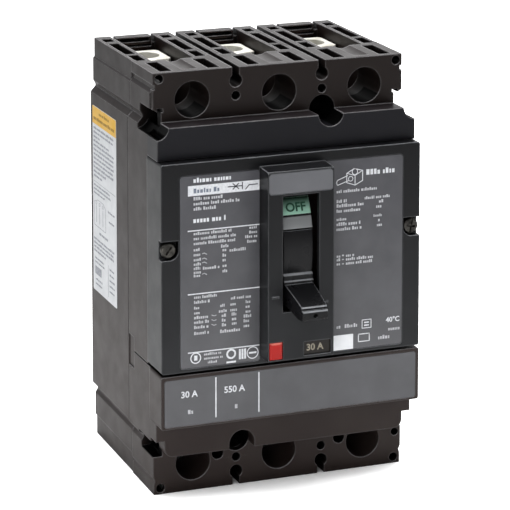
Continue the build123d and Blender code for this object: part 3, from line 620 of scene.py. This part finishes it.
def side_label_print():
    """Paper label on the left side, with a yellow head; its warning is replaced by plain blocks."""
    low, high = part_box("side_label")
    tall = (high.z - low.z) / MM
    wide = (high.y - low.y) / MM

    def sheet():
        return Sheet((low.x, high.y, high.z), (0, -1, 0), (0, 0, -1))

    header_height = 6.9
    header = sheet()
    header.bar(0.12, 0.12, wide - 0.24, header_height)
    header.piece("side_label_header", YELLOW_FILM)

    title = sheet().over_ink()
    title.greek(8.2, 1.4, 12.0, 1.3, 31)
    title.greek(1.6, 3.9, wide - 3.2, 1.4, 32)
    title.piece("side_label_header_print", HEADER_INK)

    body = sheet()
    column = wide - 2.6
    for i, share in enumerate((0.93, 0.9, 0.3, 0.72, 0.94, 0.94, 0.92, 0.94, 0.9, 0.94, 0.6, 0.4)):
        body.greek(1.3, header_height + 1.2 + 1.75 * i, column * share, 1.0, 40 + i)
    body.bar(1.2, 30.2, wide - 2.4, 0.16)
    for i, share in enumerate((0.75, 0.8, 0.5)):
        body.greek(1.3, 31.2 + 1.6 * i, column * share, 0.8, 60 + i)
    # Outline drawing of a breaker with its bars, beside two call-outs.
    outline = [(1.8, 38.5), (6.0, 37.2), (13.0, 37.2), (15.6, 39.0), (15.6, 48.0), (1.8, 48.0)]
    body.stroke(outline + outline[:1], 0.18)
    for i in range(3):
        body.stroke([(4.2 + 4.0 * i, 40.0), (4.2 + 4.0 * i, 46.4)], 0.3)
        body.circle(4.2 + 4.0 * i, 38.7, 0.7, 0.16, steps=16)
    body.greek(18.5, 38.2, 8.0, 0.9, 70)
    body.greek(19.5, 42.0, 6.4, 0.9, 71)
    body.greek(7.8, 49.6, 10.4, 1.2, 72)
    for i, share in enumerate((0.94, 0.9, 0.94, 0.55)):
        body.greek(1.3, 53.0 + 1.6 * i, column * share, 0.95, 80 + i)
    body.bar(18.4, 60.2, 0.16, tall - 62.0)
    body.bar(2.4, 64.6, 7.6, 3.2)
    for i in range(5):
        body.greek(20.0, 61.0 + 2.2 * i, 6.0, 0.8, 90 + i)
    for i in range(2):
        body.greek(2.4, 60.8 + 1.6 * i, 11.0, 0.8, 96 + i)
        body.greek(3.0, 69.4 + 1.8 * i, 8.0, 0.8, 98 + i)
    body.piece("side_label_print", LABEL_INK)


def lettering(name, text, size_mm, depth_mm):
    """Mesh of a short text in millimetres: x to the right, y up, z out, centred on its box."""
    curve = bpy.data.curves.new(name, "FONT")
    curve.body = text
    curve.size = size_mm
    curve.extrude = depth_mm / 2
    curve.offset = size_mm * LETTER_WEIGHT
    curve.align_x = "CENTER"
    curve.align_y = "CENTER"
    curve.resolution_u = 4
    carrier = bpy.data.objects.new(name + "_curve", curve)
    bpy.context.scene.collection.objects.link(carrier)
    mesh = bmesh.new()
    mesh.from_mesh(carrier.to_mesh())
    bmesh.ops.remove_doubles(mesh, verts=mesh.verts, dist=0.0001)
    bpy.data.objects.remove(carrier)
    bpy.data.curves.remove(curve)
    return mesh


def lettered_piece(name, mesh, place, material, **ride):
    """Moves each point of a lettering mesh to place(x, y, z) and makes it a piece."""
    for vert in mesh.verts:
        vert.co = place(vert.co)
    made_piece(name, mesh, material, **ride)


def on_front(node, right_mm, down_mm):
    """Placement of lettering on the front face of a plate, from its upper left corner."""
    low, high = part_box(node)

    def place(point):
        across = low.x + (right_mm + point.x) * MM
        out = low.y - (point.z + INK_HEIGHT / 2) * MM
        return Vector((across, out, high.z + (point.y - down_mm) * MM))
    return place


def ratings():
    """Plain ratings: two on the trip unit and one in the window."""
    for name, text, right, down, size, material, node in (
        ("trip_plate_rating_left", "30 A", 9.7, 6.0, 3.4, WHITE_INK, "trip_plate"),
        ("trip_plate_rating_right", "550 A", 27.7, 6.0, 3.4, WHITE_INK, "trip_plate"),
        ("window_rating", "30 A", 4.6, 2.55, 3.5, TAN_INK, "rating_window"),
        ("right_plate_temperature", "40°C", 27.9, 63.9, 2.7, WHITE_INK, "right_plate"),
    ):
        mesh = lettering(name, text, size, INK_HEIGHT * 1.6)
        lettered_piece(name, mesh, on_front(node, right, down), material)

    sheet = front_sheet("trip_plate")
    for right in (20.05, 37.3):
        sheet.bar(right, 0.6, 0.5, 15.4)
    sheet.piece("trip_plate_rules", WHITE_INK)
    small = front_sheet("trip_plate")
    small.greek(9.2, 11.9, 2.0, 1.6, 301)
    small.greek(27.9, 11.9, 1.3, 1.6, 302)
    small.piece("trip_plate_small_print", GREY_INK)


def handle_pivot():
    """Middle of the handle's joint."""
    for joint in frame["joints"]:
        if joint["name"] == "handle_swing":
            return Vector(joint["pos_m"])
    raise KeyError("handle_swing")


def flag_lettering():
    """OFF on the green flag, following the curve of the drum."""
    pivot = handle_pivot()
    low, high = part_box("off_flag")
    radius = math.hypot(low.y - pivot.y, low.z - pivot.z)
    middle = math.asin(((low.z + high.z) / 2 - pivot.z) / radius)

    def place(point):
        turn = middle + (point.y - 0.7) * MM / radius
        r = radius + (point.z + 0.05) * MM
        return Vector((point.x * MM, pivot.y - r * math.cos(turn), pivot.z + r * math.sin(turn)))

    mesh = lettering("off_letters", "OFF", 4.6, 0.2)
    lettered_piece("off_letters", mesh, place, GREEN_INK, body="handle", slot="green")


# ---------------------------------------------------------------- the button's spring

def button_spring():
    """Return spring of the trip button, a coil that takes the place of the CAD spring."""
    node = "trip_button_spring"
    low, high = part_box(node)
    wire = SPRING_WIRE * MM
    turns, steps, sides = 7, 24, 8
    radius = (high.x - low.x) / 2 - wire
    centre = (low + high) / 2
    run = high.y - low.y - 2 * wire
    mesh = bmesh.new()
    rings = []
    for i in range(turns * steps + 1):
        angle = math.tau * i / steps
        outward = Vector((math.cos(angle), 0, math.sin(angle)))
        middle = Vector((centre.x, low.y + wire + run * i / (turns * steps), centre.z)) + outward * radius
        rings.append([
            mesh.verts.new(middle + outward * wire * math.cos(a) + Vector((0, wire * math.sin(a), 0)))
            for a in (math.tau * k / sides for k in range(sides))
        ])
    for first, second in zip(rings, rings[1:]):
        for k in range(sides):
            mesh.faces.new((first[k - 1], first[k], second[k], second[k - 1]))
    mesh.faces.new(rings[0])
    mesh.faces.new(rings[-1])
    coil = made_piece("button_coil", mesh, MATERIALS["steel"], slot="steel")
    for face in coil.data.polygons:
        face.use_smooth = len(face.vertices) == 4
    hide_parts(node)
    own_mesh(coil)


# ---------------------------------------------------------------- the scene

def floor():
    """Pale paper floor under the object."""
    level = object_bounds()[0].z
    data = bpy.data.meshes.new("floor")
    corners = [(x * FLOOR_HALF, y * FLOOR_HALF, level) for x, y in ((-1, -1), (1, -1), (1, 1), (-1, 1))]
    data.from_pydata(corners, [], [(0, 1, 2, 3)])
    sheet = bpy.data.objects.new("floor", data)
    bpy.context.scene.collection.objects.link(sheet)
    s = Shader("floor_paint", 0.75, specular=0.2)
    s.color(s.mix(s.remap(s.noise(400, 2.0), 0.0, 1.0), rgb("f4f4f4"), rgb("f8f8f8")))
    # The paper sweep looks evenly white to the camera, as if lit from beneath.
    path = s.node("ShaderNodeLightPath")
    s.set("Emission Color", (1, 1, 1, 1))
    # Painted shade: the glow fades out under the object and close beside it, where shade falls.
    uncovered = s.remap(s.open_to_light(60), 0.0, 1.0, 0.3, 0.7)
    s.set("Emission Strength", s.product(path.outputs["Is Camera Ray"], uncovered))
    dress(sheet, s.material)
    sheet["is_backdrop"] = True


def lamps():
    """Soft square lamps: place and width in metres, power in watts."""
    for name, place, width, power in (
        ("top", (0.0, -0.05, 0.95), 0.6, 13.0),
        ("back", (0.6, 1.4, 0.5), 1.0, 3.6),
        ("key", (-0.9, -1.3, 0.9), 1.0, 4.5),
        ("fill", (-0.35, -0.7, -0.06), 0.4, 2.0),
    ):
        lamp = bpy.data.lights.new(name, "AREA")
        lamp.size = width
        lamp.energy = power
        holder = bpy.data.objects.new(name, lamp)
        holder.location = place
        holder.rotation_euler = (Vector(AIM) - Vector(place)).to_track_quat("-Z", "Y").to_euler()
        holder.visible_camera = False
        bpy.context.scene.collection.objects.link(holder)


def studio_world():
    """Pale studio: bright behind the object, dim behind the camera."""
    world = bpy.data.worlds.new("studio")
    world.use_nodes = True
    tree = world.node_tree
    backdrop = tree.nodes["Background"]
    backdrop.inputs["Color"].default_value = (0.97, 0.98, 1.0, 1)
    look = tree.nodes.new("ShaderNodeTexCoord")
    split = tree.nodes.new("ShaderNodeSeparateXYZ")
    tree.links.new(look.outputs["Generated"], split.inputs["Vector"])
    strength = tree.nodes.new("ShaderNodeMapRange")
    strength.interpolation_type = "SMOOTHSTEP"
    for key, value in (("From Min", -0.5), ("From Max", 0.3), ("To Min", 0.12), ("To Max", 0.65)):
        strength.inputs[key].default_value = value
    tree.links.new(split.outputs["Y"], strength.inputs["Value"])
    tree.links.new(strength.outputs["Result"], backdrop.inputs["Strength"])
    bpy.context.scene.world = world


CAMERA_AT = (-0.35565, -0.92247, 0.28418)    # m
CAMERA_TURN = (-18.259, 6.534, -0.420)       # yaw, pitch and roll, degrees
CAMERA_LENS = 176.34                         # mm, on a 36 mm sensor
CAMERA_SHIFT = (0.32335, -0.87892)           # shares of the frame


def camera():
    """Product-shot camera: a long lens shifted down, so that upright edges stay nearly upright."""
    data = bpy.data.cameras.new("camera")
    data.lens = CAMERA_LENS
    data.sensor_width = 36.0
    cam = bpy.data.objects.new("camera", data)
    yaw, pitch, roll = (math.radians(angle) for angle in CAMERA_TURN)
    back = Vector((math.sin(yaw) * math.cos(pitch), -math.cos(yaw) * math.cos(pitch), math.sin(pitch)))
    level = Vector((0, 0, 1)).cross(back).normalized()
    upright = back.cross(level)
    right = level * math.cos(roll) + upright * math.sin(roll)
    up = upright * math.cos(roll) - level * math.sin(roll)
    cam.matrix_world = Matrix((
        (right.x, up.x, back.x, CAMERA_AT[0]),
        (right.y, up.y, back.y, CAMERA_AT[1]),
        (right.z, up.z, back.z, CAMERA_AT[2]),
        (0, 0, 0, 1),
    ))
    bpy.context.scene.collection.objects.link(cam)
    bpy.context.scene.camera = cam
    # The lens is shifted only from this station; seen from elsewhere it is centred.
    for path, amount in zip(("shift_x", "shift_y"), CAMERA_SHIFT):
        driver = data.driver_add(path).driver
        driver.type = "SCRIPTED"
        for name, channel in (("x", "LOC_X"), ("y", "LOC_Y")):
            variable = driver.variables.new()
            variable.name = name
            variable.type = "TRANSFORMS"
            variable.targets[0].id = cam
            variable.targets[0].transform_type = channel
            variable.targets[0].transform_space = "WORLD_SPACE"
        driver.expression = (
            f"{amount} if abs(x - ({CAMERA_AT[0]})) < 0.001 and abs(y - ({CAMERA_AT[1]})) < 0.001 else 0"
        )


# ---------------------------------------------------------------- everything together

for node_name, node_object in NODES.items():
    dress(node_object, MATERIALS[slot_of(node_name)])

dress(NODES["nameplate"], NAMEPLATE)
dress(NODES["blank_sticker"], STICKER)

for node_name, rounding_mm in (
    ("toggle_handle", 0.3),
    ("trip_button", 0.25),
    ("off_flag", 0.15),
    ("on_flag", 0.15),
    ("nameplate", 0.15),
):
    soften(node_name, rounding_mm)

left_plate_print()
right_plate_print()
side_label_print()
ratings()
flag_lettering()
button_spring()
floor()
studio_world()
lamps()
camera()
bpy.context.scene.view_settings.view_transform = "Standard"
